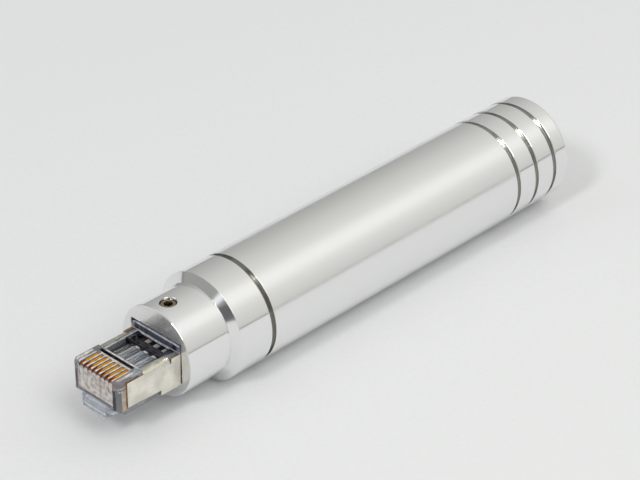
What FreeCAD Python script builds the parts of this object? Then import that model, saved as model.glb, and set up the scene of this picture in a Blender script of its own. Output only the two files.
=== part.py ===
import FreeCAD, Part
import math
import os
import re

import Sketcher
from FreeCAD import Rotation, Vector

# A noise filter that plugs into a spare network port: a turned aluminium barrel with a
# shielded eight-way modular plug clamped in its nose.
# +X runs along the barrel from the plug to the rear end, and +Z is up, on the contacts' side.
# The origin is on the barrel's axis, in the front face of the nose.

# Driving dimensions, in millimetres and degrees
DRIVING = {
    # Barrel, nose and end cap, all turned from one bar
    "barrel_radius": 10.0,
    "barrel_wall": 2.0,
    "barrel_length": 62.45,
    "edge_break": 0.15,
    "groove_width": 0.9,
    "groove_depth": 0.6,
    "spigot_length": 8.0,
    "thread_clearance": 0.05,
    "neck_radius": 8.33,
    "neck_length": 9.27,
    "shoulder_length": 0.95,
    "collar_length": 7.03,
    "nose_bore_radius": 5.4,
    "ring_pitch": 5.04,
    "end_ring_length": 3.4,
    "end_chamfer": 0.4,
    # Set screw that clamps the plug in the nose
    "screw_place": 2.98,
    "screw_radius": 1.5,
    "screw_depth": 0.3,
    "screw_chamfer": 0.25,
    "socket_flats": 1.5,
    "socket_depth": 1.5,
    "countersink": 0.15,
    # Plug housing
    "plug_reach": 13.5,
    "plug_tail": 7.9,
    "housing_half_width": 5.57,
    "housing_bottom": 3.85,
    "block_top": 2.75,
    "flange_seat": 2.2,
    "rim_top": 3.65,
    "rim_reach": 0.1,
    "rim_corner": 0.8,
    "seat_clearance": 0.15,
    "seat_headroom": 0.3,
    "lead_in_length": 1.35,
    "lead_in_height": 0.95,
    "side_lead_in": 0.6,
    "corner_radius": 0.5,
    # Conductors and the channels that they lie in
    "contact_pitch": 1.02,
    "wire_height": 0.3,
    "wire_radius": 0.46,
    "channel_clearance": 0.07,
    "channel_inset": 1.4,
    "wire_landing": 3.35,
    # Contacts and their slots
    "contact_thickness": 0.42,
    "slot_clearance": 0.04,
    "contact_drop": 0.12,
    "contact_inset": 0.7,
    "contact_length": 3.3,
    "contact_nose_radius": 1.0,
    "contact_nose_depth": 1.7,
    "contact_blade_depth": 1.45,
    "tine_width": 0.45,
    "tine_bite": 0.5,
    # Openings in the housing's upper side
    "trench_inset": 4.85,
    "trench_width": 0.7,
    "trench_depth": 1.4,
    "trench_margin": 0.2,
    "window_inset": 6.1,
    "window_slope": 0.8,
    "window_rear": 2.9,
    "window_depth": 0.95,
    "window_wall": 1.27,
    "rib_width": 0.3,
    "rib_height": 0.15,
    "cavity_wall": 1.07,
    "cavity_roof": 1.7,
    "cavity_floor": 2.6,
    "clamp_side_wall": 2.07,
    "clamp_wall": 0.1,
    "clamp_bar_width": 0.8,
    "clamp_bar_height": 0.7,
    # Shield, folded from sheet
    "sheet": 0.3,
    "shield_inset": 1.8,
    "shield_tail": 6.0,
    "side_gap_front": 1.3,
    "side_gap_rear": 1.0,
    "web_start": 4.4,
    "flange_inset": 5.5,
    "flange_rear": 2.28,
    "flange_width": 1.37,
    "fold_radius": 1.1,
    "fold_relief": 0.25,
    # Latch tongue and the root that it springs from
    "root_lip": 0.5,
    "root_overlap": 0.15,
    "hinge_inset": 1.2,
    "hinge_drop": 0.8,
    "latch_thickness": 1.0,
    "latch_half_width": 2.9,
    "latch_angle": 10.0,
    "latch_catch": 7.1,
    "latch_gap": 1.3,
    "finger_half_width": 1.65,
    "finger_thickness": 0.8,
    "hinge_clearance": 0.05,
    # Sleeve, board and what fills the barrel
    "sleeve_wall": 0.7,
    "sleeve_clearance": 0.05,
    "board_inset": 2.0,
    "board_length": 22.0,
    "board_thickness": 1.0,
    "board_clearance": 0.05,
    "resistor_inset": 5.35,
    "resistor_length": 6.3,
    "resistor_height": 0.7,
    "capacitor_inset": 14.35,
    "capacitor_length": 4.5,
    "capacitor_height": 1.8,
    "chip_gap": 0.3,
    "chip_clearance": 0.3,
    "terminal_length": 0.7,
    "terminal_coat": 0.05,
    "core_clearance": 0.2,
    "pad_thickness": 6.45,
}

CONTACTS = 8
TINES = 3
RINGS = 3
CHIPS = 4

# Places and sizes that follow from the driving ones, written as formulas on them
BORE = "(barrel_radius - barrel_wall)"
SPIGOT = f"({BORE} - thread_clearance)"
GROOVE_FLOOR = "(barrel_radius - groove_depth)"
COLLAR_START = "(neck_length + shoulder_length)"
COLLAR_END = f"({COLLAR_START} + collar_length)"
BARREL_START = f"({COLLAR_END} + groove_width)"
BARREL_END = f"({BARREL_START} + barrel_length)"
RING_START = f"({BARREL_END} + groove_width)"
REAR_END = f"({RING_START} + {RINGS - 1} * ring_pitch + end_ring_length)"
NOSE_END = f"({BARREL_START} + spigot_length)"
CAP_START = f"({BARREL_END} - spigot_length)"
SHIELD_HALF_WIDTH = "(housing_half_width + sheet)"
SHIELD_TOP = "(flange_seat + sheet)"
FLANGE_FRONT = "(flange_inset - plug_reach)"
WEB_SEAT = "(sheet - housing_bottom)"
LEAD_IN_Z = "(lead_in_height - housing_bottom)"
CHANNEL_RADIUS = "(wire_radius + channel_clearance)"
CHANNEL_END = "(channel_inset - plug_reach)"
SLOT_WIDTH = "(contact_thickness + 2 * slot_clearance)"
WINDOW_START = "(window_inset + window_slope - plug_reach)"
WINDOW_FLOOR = "(flange_seat - window_depth)"
CAVITY_HALF_WIDTH = "(housing_half_width - cavity_wall)"
FIRST_PLACE = f"(-{CONTACTS - 1} / 2 * contact_pitch)"
ROW_LENGTH = f"({CONTACTS - 1} * contact_pitch)"
CONTACT_TOP = "(block_top - contact_drop)"
CONTACT_FRONT = "(contact_inset - plug_reach)"
BLADE_BOTTOM = f"({CONTACT_TOP} - contact_blade_depth)"
TINE_BOTTOM = "(wire_height + wire_radius - tine_bite)"
HINGE_X = "(hinge_inset - plug_reach)"
HINGE_Z = "(-housing_bottom - hinge_drop)"
LATCH_LENGTH = f"((-{HINGE_X} - latch_gap) / cos(latch_angle * 1deg))"
BOARD_TOP = "(wire_height - wire_radius)"
BOARD_BOTTOM = f"({BOARD_TOP} - board_thickness)"
BOARD_START = f"({NOSE_END} + board_inset)"
BOARD_END = f"({BOARD_START} + board_length)"
SLEEVE_RADIUS = f"({BORE} - sleeve_clearance)"
SLEEVE_BORE = f"({SLEEVE_RADIUS} - sleeve_wall)"
BOARD_HALF_WIDTH = f"(sqrt({SLEEVE_BORE} ^ 2 - {BOARD_BOTTOM} ^ 2) - board_clearance)"
CHIP_EDGE = f"(sqrt({SLEEVE_BORE} ^ 2 - ({BOARD_TOP} + capacitor_height) ^ 2) - chip_clearance)"
CHIP_WIDTH = f"((2 * {CHIP_EDGE} - {CHIPS - 1} * chip_gap) / {CHIPS})"
CORE_END = f"({CAP_START} - pad_thickness)"
CORE_RADIUS = f"({SLEEVE_BORE} - core_clearance)"

doc = FreeCAD.newDocument("lan_noise_filter_plug")
sheet = doc.addObject("Spreadsheet::Sheet", "Sizes")
for row, (alias, value) in enumerate(DRIVING.items(), 1):
    sheet.set(f"A{row}", alias)
    sheet.set(f"B{row}", str(value))
    sheet.setAlias(f"B{row}", alias)
doc.recompute()

pieces = []


def formula(text):
    """A formula on the driving names, with the sheet's own name put before each of them."""
    return re.sub(r"\b[a-z]\w*", lambda word: f"Sizes.{word[0]}" if word[0] in DRIVING else word[0], str(text))


def number(text):
    """The present value of a formula on the driving names."""
    return float(sheet.evalExpression(formula(text)))


def number_pair(corner):
    """The present place of a sketch's corner."""
    return Vector(number(corner[0]), number(corner[1]), 0)


def bind(thing, prop, text):
    """Tie a property to a formula on the driving names."""
    thing.setExpression(prop, formula(text))


def new_body(label):
    """An empty body, listed as one of the pieces."""
    body = doc.addObject("PartDesign::Body", "Body_" + label)
    body.Label = label
    pieces.append(body)
    return body


def origin_feature(body, role):
    """One of a body's own origin planes or axes, by its role."""
    return next(feature for feature in body.Origin.OriginFeatures if feature.Role == role)


def new_sketch(body, name, role, shift=("0", "0", "0")):
    """An empty sketch on an origin plane, shifted along the plane's two axes and its normal."""
    sketch = body.newObject("Sketcher::SketchObject", f"{name}_{body.Label}")
    sketch.AttachmentSupport = [(origin_feature(body, role), "")]
    sketch.MapMode = "FlatFace"
    for axis, text in zip("xyz", shift):
        if text != "0":
            bind(sketch, f"AttachmentOffset.Base.{axis}", text)
    return sketch


def outline_points(corners):
    """Points of an outline: their formulas, an arc's centre, and the coordinates that fix them.

    A corner with a third formula is square and rounded to that radius: it becomes its arc's two
    ends. The second end is fixed by one coordinate, because the arc fixes the other. A plain corner
    that an arc's end reaches is left out.
    """
    spots = [number_pair(corner) for corner in corners]
    points = []
    for i, corner in enumerate(corners):
        if len(corner) == 2:
            points.append((corner, None, "XY"))
            continue
        across, up, radius = corner
        back = (spots[i - 1] - spots[i]).normalize()
        onward = (spots[(i + 1) % len(spots)] - spots[i]).normalize()
        first, centre, last = [
            (f"{across} + {round(step.x)} * ({radius})", f"{up} + {round(step.y)} * ({radius})")
            for step in (back, back + onward, onward)]
        points.append((first, centre, "XY"))
        points.append((last, None, "X" if round(onward.x) else "Y"))
    reached = [number_pair(text) for text, centre, fixed in points if centre or fixed != "XY"]
    return [point for point in points
            if point[1] or point[2] != "XY" or all((number_pair(point[0]) - end).Length > 1e-6 for end in reached)]


def outline(sketch, corners):
    """A closed line through corners, each given by two formulas measured from the sketch's origin."""
    points = outline_points(corners)
    spots = [number_pair(corner) for corner, centre, fixed in points]
    ends = []
    for i, (spot, centre, fixed) in enumerate(points):
        start, end = spots[i], spots[(i + 1) % len(spots)]
        if not centre:
            edge = sketch.addGeometry(Part.LineSegment(start, end), False)
            ends.append((edge, 1, 2))
            continue
        middle = number_pair(centre)
        ring = Part.Circle(middle, Vector(0, 0, 1), (start - middle).Length)
        anticlockwise = (start - middle).cross(end - middle).z > 0
        low, high = (start, end) if anticlockwise else (end, start)
        edge = sketch.addGeometry(Part.ArcOfCircle(ring, ring.parameter(low), ring.parameter(high)), False)
        ends.append((edge, 1, 2) if anticlockwise else (edge, 2, 1))
        fix_point(sketch, edge, 3, centre, middle, "XY")
    for i, (edge, first, last) in enumerate(ends):
        following, start_of_next, _ = ends[(i + 1) % len(ends)]
        sketch.addConstraint(Sketcher.Constraint("Coincident", edge, last, following, start_of_next))
        fix_point(sketch, edge, first, points[i][0], spots[i], points[i][2])
    return sketch


def fix_point(sketch, edge, vertex, texts, spot, fixed):
    """Tie a point of a sketch to its formulas, along the axes that it is fixed by."""
    for axis, text, guess in (("X", texts[0], spot.x), ("Y", texts[1], spot.y)):
        if axis in fixed:
            place = sketch.addConstraint(Sketcher.Constraint("Distance" + axis, -1, 1, edge, vertex, guess))
            bind(sketch, f"Constraints[{place}]", text)


def rectangle(sketch, low, high):
    """An upright rectangle between two opposite corners."""
    return outline(sketch, [low, (high[0], low[1]), high, (low[0], high[1])])


def circle(sketch, radius):
    """A circle about the sketch's origin."""
    ring = sketch.addGeometry(Part.Circle(Vector(0, 0, 0), Vector(0, 0, 1), 1), False)
    sketch.addConstraint(Sketcher.Constraint("Coincident", ring, 3, -1, 1))
    place = sketch.addConstraint(Sketcher.Constraint("Radius", ring, 1))
    bind(sketch, f"Constraints[{place}]", radius)
    return sketch


def extrude(body, kind, name, sketch, length, middle=False, reverse=False):
    """A pad or pocket of a sketch, to both sides of its plane alike or to one side."""
    feature = body.newObject(f"PartDesign::{kind}", f"{name}_{body.Label}")
    feature.Profile = sketch
    feature.SideType = "Symmetric" if middle else "One side"
    feature.Reversed = reverse
    bind(feature, "Length", length)
    return feature


def spin(body, kind, name, sketch, axis):
    """A full turn of a sketch about one of its own axes, added or taken away."""
    feature = body.newObject(f"PartDesign::{kind}", f"{name}_{body.Label}")
    feature.Profile = sketch
    feature.ReferenceAxis = (sketch, [axis])
    feature.Angle = 360
    return feature


def row_of(body, name, feature, count, length):
    """Copies of a feature in a straight row along Y."""
    row = body.newObject("PartDesign::LinearPattern", f"{name}_{body.Label}")
    row.Originals = [feature]
    row.Direction = (origin_feature(body, "Y_Axis"), [""])
    bind(row, "Length", length)
    row.Occurrences = count
    body.Tip = row
    return row


def dress(body, kind, name, prop, size, wanted):
    """A fillet or chamfer on the edges of the body's last feature that pass a test."""
    doc.recompute()
    base = body.Tip
    edges = [f"Edge{i}" for i, edge in enumerate(base.Shape.Edges, 1) if wanted(edge)]
    feature = body.newObject(f"PartDesign::{kind}", f"{name}_{body.Label}")
    feature.Base = (base, edges)
    bind(feature, prop, size)
    return feature


def lies_at(edge, **wanted):
    """Whether both ends and the middle of an edge share the given coordinates."""
    points = [vertex.Point for vertex in edge.Vertexes] + [edge.CenterOfMass]
    near = 0.001
    return all(abs(getattr(point, axis) - value) < near for point in points for axis, value in wanted.items())


def turned(label, section):
    """A piece turned about the barrel's axis, from a section of places along it and radii."""
    body = new_body(label)
    sketch = outline(new_sketch(body, "Section", "XZ_Plane"), section)
    spin(body, "Revolution", "Turned", sketch, "H_Axis")
    return body


def barrel():
    """The tube, with its edges just broken."""
    turned("barrel", [
        (BARREL_START, BORE),
        (BARREL_START, "barrel_radius - edge_break"),
        (f"{BARREL_START} + edge_break", "barrel_radius"),
        (f"{BARREL_END} - edge_break", "barrel_radius"),
        (BARREL_END, "barrel_radius - edge_break"),
        (BARREL_END, BORE),
    ])


def nose_collar():
    """The nose: a neck, a sloping shoulder, a full-width land, the joint groove and a spigot.

    The plug lies on the floor of its seat, with room above it for the screw to press it down.
    """
    body = turned("nose_collar", [
        ("0", "0"),
        ("0", "neck_radius - edge_break"),
        ("edge_break", "neck_radius"),
        ("neck_length", "neck_radius"),
        (COLLAR_START, "barrel_radius"),
        (f"{COLLAR_END} - edge_break", "barrel_radius"),
        (COLLAR_END, "barrel_radius - edge_break"),
        (COLLAR_END, GROOVE_FLOOR),
        (BARREL_START, GROOVE_FLOOR),
        (BARREL_START, SPIGOT),
        (NOSE_END, SPIGOT),
        (NOSE_END, "nose_bore_radius"),
        ("plug_tail", "nose_bore_radius"),
        ("plug_tail", "0"),
    ])
    seat_side = f"({SHIELD_HALF_WIDTH} + seat_clearance)"
    seat = rectangle(
        new_sketch(body, "Seat", "YZ_Plane"),
        (f"-{seat_side}", "-housing_bottom"),
        (seat_side, "rim_top + seat_headroom"))
    extrude(body, "Pocket", "PlugSeat", seat, "plug_tail", reverse=True)
    hole = outline(new_sketch(body, "ScrewHole", "XZ_Plane", ("screw_place", "0", "0")), [
        ("0", "rim_top / 2"),
        ("screw_radius", "rim_top / 2"),
        ("screw_radius", "neck_radius - countersink"),
        ("screw_radius + 2 * countersink", "neck_radius + countersink"),
        ("0", "neck_radius + countersink"),
    ])
    spin(body, "Groove", "Tapped", hole, "V_Axis")


def end_cap():
    """The rear cap: a spigot and the rings, with a groove in front of each of them."""
    section = [
        (CAP_START, "0"),
        (CAP_START, SPIGOT),
        (BARREL_END, SPIGOT),
        (BARREL_END, GROOVE_FLOOR),
    ]
    for ring in range(RINGS):
        last = ring == RINGS - 1
        ring_start = f"({RING_START} + {ring} * ring_pitch)"
        ring_end = REAR_END if last else f"({ring_start} + ring_pitch - groove_width)"
        end_break = "end_chamfer" if last else "edge_break"
        section += [
            (ring_start, GROOVE_FLOOR),
            (ring_start, "barrel_radius - edge_break"),
            (f"{ring_start} + edge_break", "barrel_radius"),
            (f"{ring_end} - {end_break}", "barrel_radius"),
            (ring_end, f"barrel_radius - {end_break}"),
        ]
        section.append((REAR_END, "0") if last else (ring_end, GROOVE_FLOOR))
    turned("end_cap", section)


def set_screw():
    """A headless screw that stands on the plug's rim, with a hexagon socket in its top."""
    body = new_body("set_screw")
    radius = "(screw_radius - thread_clearance)"
    top = "(neck_radius - screw_depth)"
    shank = outline(new_sketch(body, "Shank", "XZ_Plane", ("screw_place", "0", "0")), [
        ("0", "rim_top"),
        (f"{radius} - screw_chamfer", "rim_top"),
        (radius, "rim_top + screw_chamfer"),
        (radius, f"{top} - screw_chamfer"),
        (f"{radius} - screw_chamfer", top),
        ("0", top),
    ])
    spin(body, "Revolution", "Turned", shank, "V_Axis")
    corner_radius = "(socket_flats / sqrt(3))"
    corners = [
        (f"{corner_radius} * cos({turn}deg)", f"{corner_radius} * sin({turn}deg)")
        for turn in range(0, 360, 60)]
    hexagon = outline(new_sketch(body, "Hexagon", "XY_Plane", ("screw_place", "0", top)), corners)
    extrude(body, "Pocket", "Socket", hexagon, "socket_depth")


def plug_housing():
    """The clear moulding: a front block, a lower shield seat, and a tall rear that fills the nose."""
    body = new_body("plug_housing")
    block = outline(new_sketch(body, "Block", "XZ_Plane"), [
        ("-plug_reach", LEAD_IN_Z),
        ("lead_in_length - plug_reach", "-housing_bottom"),
        ("-web_start", "-housing_bottom"),
        ("-web_start", WEB_SEAT),
        ("plug_tail", WEB_SEAT),
        ("plug_tail", "flange_seat"),
        (FLANGE_FRONT, "flange_seat"),
        (FLANGE_FRONT, "block_top"),
        ("-plug_reach", "block_top"),
    ])
    extrude(body, "Pad", "Moulded", block, "2 * housing_half_width", middle=True)

    side = number("housing_half_width")
    front = -number("plug_reach")
    seat = number("flange_seat")
    top = number("block_top")
    for sign in (-1, 1):
        dress(body, "Fillet", "FoldSeat" + "LR"[sign > 0], "Radius", "fold_radius - sheet",
              lambda edge: lies_at(edge, y=sign * side, z=seat))
    dress(body, "Chamfer", "SideLeadIn", "Size", "side_lead_in",
          lambda edge: lies_at(edge, x=front, y=side) or lies_at(edge, x=front, y=-side))
    dress(body, "Fillet", "TopEdge", "Radius", "corner_radius",
          lambda edge: lies_at(edge, z=top) and edge.CenterOfMass.x < number(FLANGE_FRONT) - 0.001)

    rim = outline(new_sketch(body, "Rim", "YZ_Plane", ("0", "0", "plug_tail")), [
        (f"-{SHIELD_HALF_WIDTH}", "flange_seat"),
        (f"-{SHIELD_HALF_WIDTH}", "rim_top", "rim_corner"),
        (SHIELD_HALF_WIDTH, "rim_top", "rim_corner"),
        (SHIELD_HALF_WIDTH, "flange_seat"),
    ])
    extrude(body, "Pad", "Rim", rim, "plug_tail + rim_reach", reverse=True)

    root_side = "2 * latch_half_width"
    root_bottom = f"({HINGE_Z} - latch_thickness / 2)"
    root = rectangle(
        new_sketch(body, "Root", "XZ_Plane"),
        ("-plug_reach - root_lip", root_bottom), (HINGE_X, f"{LEAD_IN_Z} + root_overlap"))
    extrude(body, "Pad", "LatchRoot", root, root_side, middle=True)
    socket = circle(new_sketch(body, "HingeSeat", "XZ_Plane", (HINGE_X, HINGE_Z, "0")),
                    "latch_thickness / 2 + hinge_clearance")
    extrude(body, "Pocket", "HingeHollow", socket, "4 * latch_half_width", middle=True)

    cavity = rectangle(
        new_sketch(body, "Cavity", "YZ_Plane", ("0", "0", "plug_tail")),
        (f"-{CAVITY_HALF_WIDTH}", "-cavity_floor"), (CAVITY_HALF_WIDTH, "cavity_roof"))
    extrude(body, "Pocket", "CableCavity", cavity, "plug_tail + window_rear")
    channel = circle(
        new_sketch(body, "Channel", "YZ_Plane", (FIRST_PLACE, "wire_height", "plug_tail")), CHANNEL_RADIUS)
    first_channel = extrude(body, "Pocket", "FirstChannel", channel, f"plug_tail - {CHANNEL_END}")
    row_of(body, "Channels", first_channel, CONTACTS, ROW_LENGTH)

    slot = rectangle(
        new_sketch(body, "Slot", "XY_Plane", ("0", FIRST_PLACE, "block_top")),
        ("-plug_reach - corner_radius", f"-{SLOT_WIDTH} / 2"),
        (f"{CONTACT_FRONT} + contact_length + slot_clearance", f"{SLOT_WIDTH} / 2"))
    first_slot = extrude(body, "Pocket", "FirstSlot", slot, "block_top - wire_height")
    row_of(body, "Slots", first_slot, CONTACTS, ROW_LENGTH)

    half_span = f"({ROW_LENGTH} / 2 + {SLOT_WIDTH} / 2 + trench_margin)"
    trench = rectangle(
        new_sketch(body, "Trench", "XY_Plane", ("trench_inset - plug_reach", "0", "block_top")),
        ("-trench_width / 2", f"-{half_span}"), ("trench_width / 2", half_span))
    extrude(body, "Pocket", "CrossTrench", trench, "trench_depth")
    window = outline(new_sketch(body, "Window", "XZ_Plane"), [
        (f"{WINDOW_START} - window_slope", "flange_seat"),
        (WINDOW_START, WINDOW_FLOOR),
        ("-window_rear", WINDOW_FLOOR),
        ("-window_rear", "flange_seat"),
    ])
    extrude(body, "Pocket", "SunkWindow", window, "2 * (housing_half_width - window_wall)", middle=True)
    rib = rectangle(
        new_sketch(body, "Rib", "XY_Plane", ("0", f"{FIRST_PLACE} + contact_pitch / 2", WINDOW_FLOOR)),
        (WINDOW_START, "-rib_width / 2"), ("-window_rear", "rib_width / 2"))
    first_rib = extrude(body, "Pad", "FirstRib", rib, "rib_height")
    row_of(body, "Ribs", first_rib, CONTACTS - 1, f"{ROW_LENGTH} - contact_pitch")

    clamp_side = "(housing_half_width - clamp_side_wall)"
    clamp = rectangle(
        new_sketch(body, "Clamp", "XY_Plane", ("0", "0", "flange_seat")),
        ("clamp_wall - window_rear", f"-{clamp_side}"), ("-rim_reach - clamp_wall", clamp_side))
    extrude(body, "Pocket", "ClampOpening", clamp, "flange_seat - wire_height")
    bar = rectangle(
        new_sketch(body, "Bar", "XY_Plane", ("-(window_rear + rim_reach) / 2", "0", "cavity_roof")),
        ("-clamp_bar_width / 2", f"-{CAVITY_HALF_WIDTH}"), ("clamp_bar_width / 2", CAVITY_HALF_WIDTH))
    extrude(body, "Pad", "ClampBar", bar, "clamp_bar_height", reverse=True)


def plug_latch():
    """The latch tongue, lying along X from its hinge and then tilted down behind the plug's front."""
    body = new_body("plug_latch")
    bar = rectangle(
        new_sketch(body, "Tongue", "XZ_Plane"),
        ("0", "-latch_thickness / 2"), ("latch_catch", "latch_thickness / 2"))
    extrude(body, "Pad", "Wide", bar, "2 * latch_half_width", middle=True)
    knuckle = circle(new_sketch(body, "Knuckle", "XZ_Plane"), "latch_thickness / 2")
    extrude(body, "Pad", "HingeEnd", knuckle, "2 * latch_half_width", middle=True)
    finger = outline(new_sketch(body, "Finger", "XZ_Plane"), [
        ("latch_catch / 2", "-latch_thickness / 2"),
        (LATCH_LENGTH, "-latch_thickness / 2"),
        (LATCH_LENGTH, "finger_thickness - latch_thickness / 2"),
        ("latch_catch / 2", "finger_thickness - latch_thickness / 2"),
    ])
    extrude(body, "Pad", "Narrow", finger, "2 * finger_half_width", middle=True)
    tip = number(LATCH_LENGTH)
    dress(body, "Fillet", "Tip", "Radius", "finger_half_width / 2",
          lambda edge: lies_at(edge, x=tip) and abs(edge.Length - number("finger_thickness")) < 0.001)
    body.Placement.Rotation = Rotation(Vector(0, 1, 0), number("latch_angle"))
    bind(body, "Placement.Rotation.Angle", "latch_angle")
    bind(body, "Placement.Base.x", HINGE_X)
    bind(body, "Placement.Base.z", HINGE_Z)


def plug_shield():
    """The shield: two sides, a web under the rear half, and two flanges folded over the top."""
    body = new_body("plug_shield")
    fold_start = f"({SHIELD_TOP} - fold_radius)"
    relief_end = "(fold_relief - flange_rear)"
    blank = outline(new_sketch(body, "Side", "XZ_Plane"), [
        ("shield_inset - plug_reach", "side_gap_front - housing_bottom"),
        ("-web_start", "side_gap_rear - housing_bottom"),
        ("-web_start", "-housing_bottom"),
        ("shield_tail", "-housing_bottom"),
        ("shield_tail", "flange_seat"),
        (relief_end, "flange_seat"),
        (relief_end, fold_start),
        (FLANGE_FRONT, fold_start),
        (FLANGE_FRONT, "flange_seat"),
        ("shield_inset - plug_reach", "flange_seat"),
    ])
    extrude(body, "Pad", "Blank", blank, f"2 * {SHIELD_HALF_WIDTH}", middle=True)
    inside = rectangle(
        new_sketch(body, "Inside", "YZ_Plane", ("0", "0", "shield_tail")),
        ("-housing_half_width", WEB_SEAT), ("housing_half_width", "block_top"))
    extrude(body, "Pocket", "Hollow", inside, "shield_tail + plug_reach")
    fold = outline(new_sketch(body, "Fold", "YZ_Plane", ("0", "0", "-flange_rear")), [
        (SHIELD_HALF_WIDTH, fold_start),
        (SHIELD_HALF_WIDTH, SHIELD_TOP, "fold_radius"),
        (f"{SHIELD_HALF_WIDTH} - flange_width", SHIELD_TOP),
        (f"{SHIELD_HALF_WIDTH} - flange_width", "flange_seat"),
        ("housing_half_width", "flange_seat", "fold_radius - sheet"),
        ("housing_half_width", fold_start),
    ])
    flange = extrude(body, "Pad", "Flange", fold, f"-{FLANGE_FRONT} - flange_rear", reverse=True)
    other = body.newObject("PartDesign::Mirrored", "OtherFlange")
    other.Originals = [flange]
    other.MirrorPlane = (origin_feature(body, "XZ_Plane"), [""])
    body.Tip = other


def contact(place):
    """One gold blade: its rounded nose shows at the plug's front, and its tines bite the wire."""
    body = new_body(f"contact_{place}")
    blade_start = f"({CONTACT_FRONT} + 2 * tine_width)"
    tine_pitch = f"((contact_length - 3 * tine_width) / {TINES - 1})"
    section = [
        (f"{CONTACT_FRONT} + contact_length", CONTACT_TOP),
        (CONTACT_FRONT, CONTACT_TOP, "contact_nose_radius"),
        (CONTACT_FRONT, f"{CONTACT_TOP} - contact_nose_depth"),
        (blade_start, BLADE_BOTTOM),
    ]
    for tine in range(TINES):
        tine_start = f"({blade_start} + {tine} * {tine_pitch})"
        if tine:
            section.append((tine_start, BLADE_BOTTOM))
        section += [
            (f"{tine_start} + tine_width / 4", TINE_BOTTOM),
            (f"{tine_start} + 3 * tine_width / 4", TINE_BOTTOM),
            (f"{tine_start} + tine_width", BLADE_BOTTOM),
        ]
    extrude(body, "Pad", "Blade", outline(new_sketch(body, "Profile", "XZ_Plane"), section),
            "contact_thickness", middle=True)
    bind(body, "Placement.Base.y", f"{FIRST_PLACE} + {place - 1} * contact_pitch")


def wire(place):
    """One insulated conductor, from under its contact straight back to its pad on the board."""
    body = turned(f"wire_{place}", [
        (CHANNEL_END, "0"),
        (CHANNEL_END, "wire_radius"),
        (f"{BOARD_START} + wire_landing", "wire_radius"),
        (f"{BOARD_START} + wire_landing", "0"),
    ])
    bind(body, "Placement.Base.y", f"{FIRST_PLACE} + {place - 1} * contact_pitch")
    bind(body, "Placement.Base.z", "wire_height")


def box(name, sizes, base):
    """A plain block from its three sizes and its low corner."""
    block = doc.addObject("Part::Box", name)
    for prop, text in zip(("Length", "Width", "Height"), sizes):
        bind(block, prop, text)
    for axis, text in zip("xyz", base):
        bind(block, f"Placement.Base.{axis}", text)
    return block


def circuit_board():
    """The board, as wide as the sleeve's bore at that height."""
    board = box(
        "Board", ("board_length", f"2 * {BOARD_HALF_WIDTH}", "board_thickness"),
        (BOARD_START, f"-{BOARD_HALF_WIDTH}", BOARD_BOTTOM))
    board.Label = "circuit_board"
    pieces.append(board)


def chip(kind, place):
    """A surface-mounted chip: a body between two plated ends that stand a little proud of it."""
    middle = f"({place} - {(CHIPS + 1) / 2}) * ({CHIP_WIDTH} + chip_gap)"
    start = f"{BOARD_START} + {kind}_inset"
    name = f"{kind}_{place}"
    length = f"{kind}_length"
    height = f"{kind}_height"
    blocks = [box(
        f"Core_{name}", (length, f"{CHIP_WIDTH} - 2 * terminal_coat", f"{height} - 2 * terminal_coat"),
        (start, f"{middle} - {CHIP_WIDTH} / 2 + terminal_coat", f"{BOARD_TOP} + terminal_coat"))]
    for end, shift in (("Front", "-terminal_coat"), ("Rear", f"{length} + terminal_coat - terminal_length")):
        blocks.append(box(
            f"{end}_{name}", ("terminal_length", CHIP_WIDTH, height),
            (f"{start} + {shift}", f"{middle} - {CHIP_WIDTH} / 2", BOARD_TOP)))
    joined = doc.addObject("Part::MultiFuse", name)
    joined.Shapes = blocks
    joined.Label = name
    pieces.append(joined)


def sleeve():
    """The insulating tube that lines the barrel between the nose's spigot and the cap's."""
    turned("insulating_sleeve", [
        (NOSE_END, SLEEVE_BORE),
        (NOSE_END, SLEEVE_RADIUS),
        (CAP_START, SLEEVE_RADIUS),
        (CAP_START, SLEEVE_BORE),
    ])


def absorber_core():
    """The ferrite bead that soaks up noise, behind the board."""
    turned("absorber_core", [
        (BOARD_END, "0"),
        (BOARD_END, CORE_RADIUS),
        (CORE_END, CORE_RADIUS),
        (CORE_END, "0"),
    ])


def end_pad():
    """The foam plug that holds the core and the board against the nose."""
    turned("end_pad", [(CORE_END, "0"), (CORE_END, CORE_RADIUS), (CAP_START, CORE_RADIUS), (CAP_START, "0")])


barrel()
nose_collar()
end_cap()
set_screw()
plug_housing()
plug_latch()
plug_shield()
for place in range(1, CONTACTS + 1):
    contact(place)
    wire(place)
circuit_board()
for place in range(1, CHIPS + 1):
    chip("resistor", place)
    chip("capacitor", place)
sleeve()
absorber_core()
end_pad()
doc.recompute()

for thing in doc.Objects:
    if "Invalid" in thing.State or "Error" in thing.State:
        raise RuntimeError(f"{thing.Name} did not build: {thing.State}")
os.makedirs("parts", exist_ok=True)
for piece in pieces:
    shape = piece.Shape
    if shape.isNull() or not shape.isValid() or len(shape.Solids) != 1:
        raise RuntimeError(f"{piece.Label} is not one valid solid")
    shape.exportStep(f"parts/{piece.Label}.step")
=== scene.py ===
import math

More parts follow.
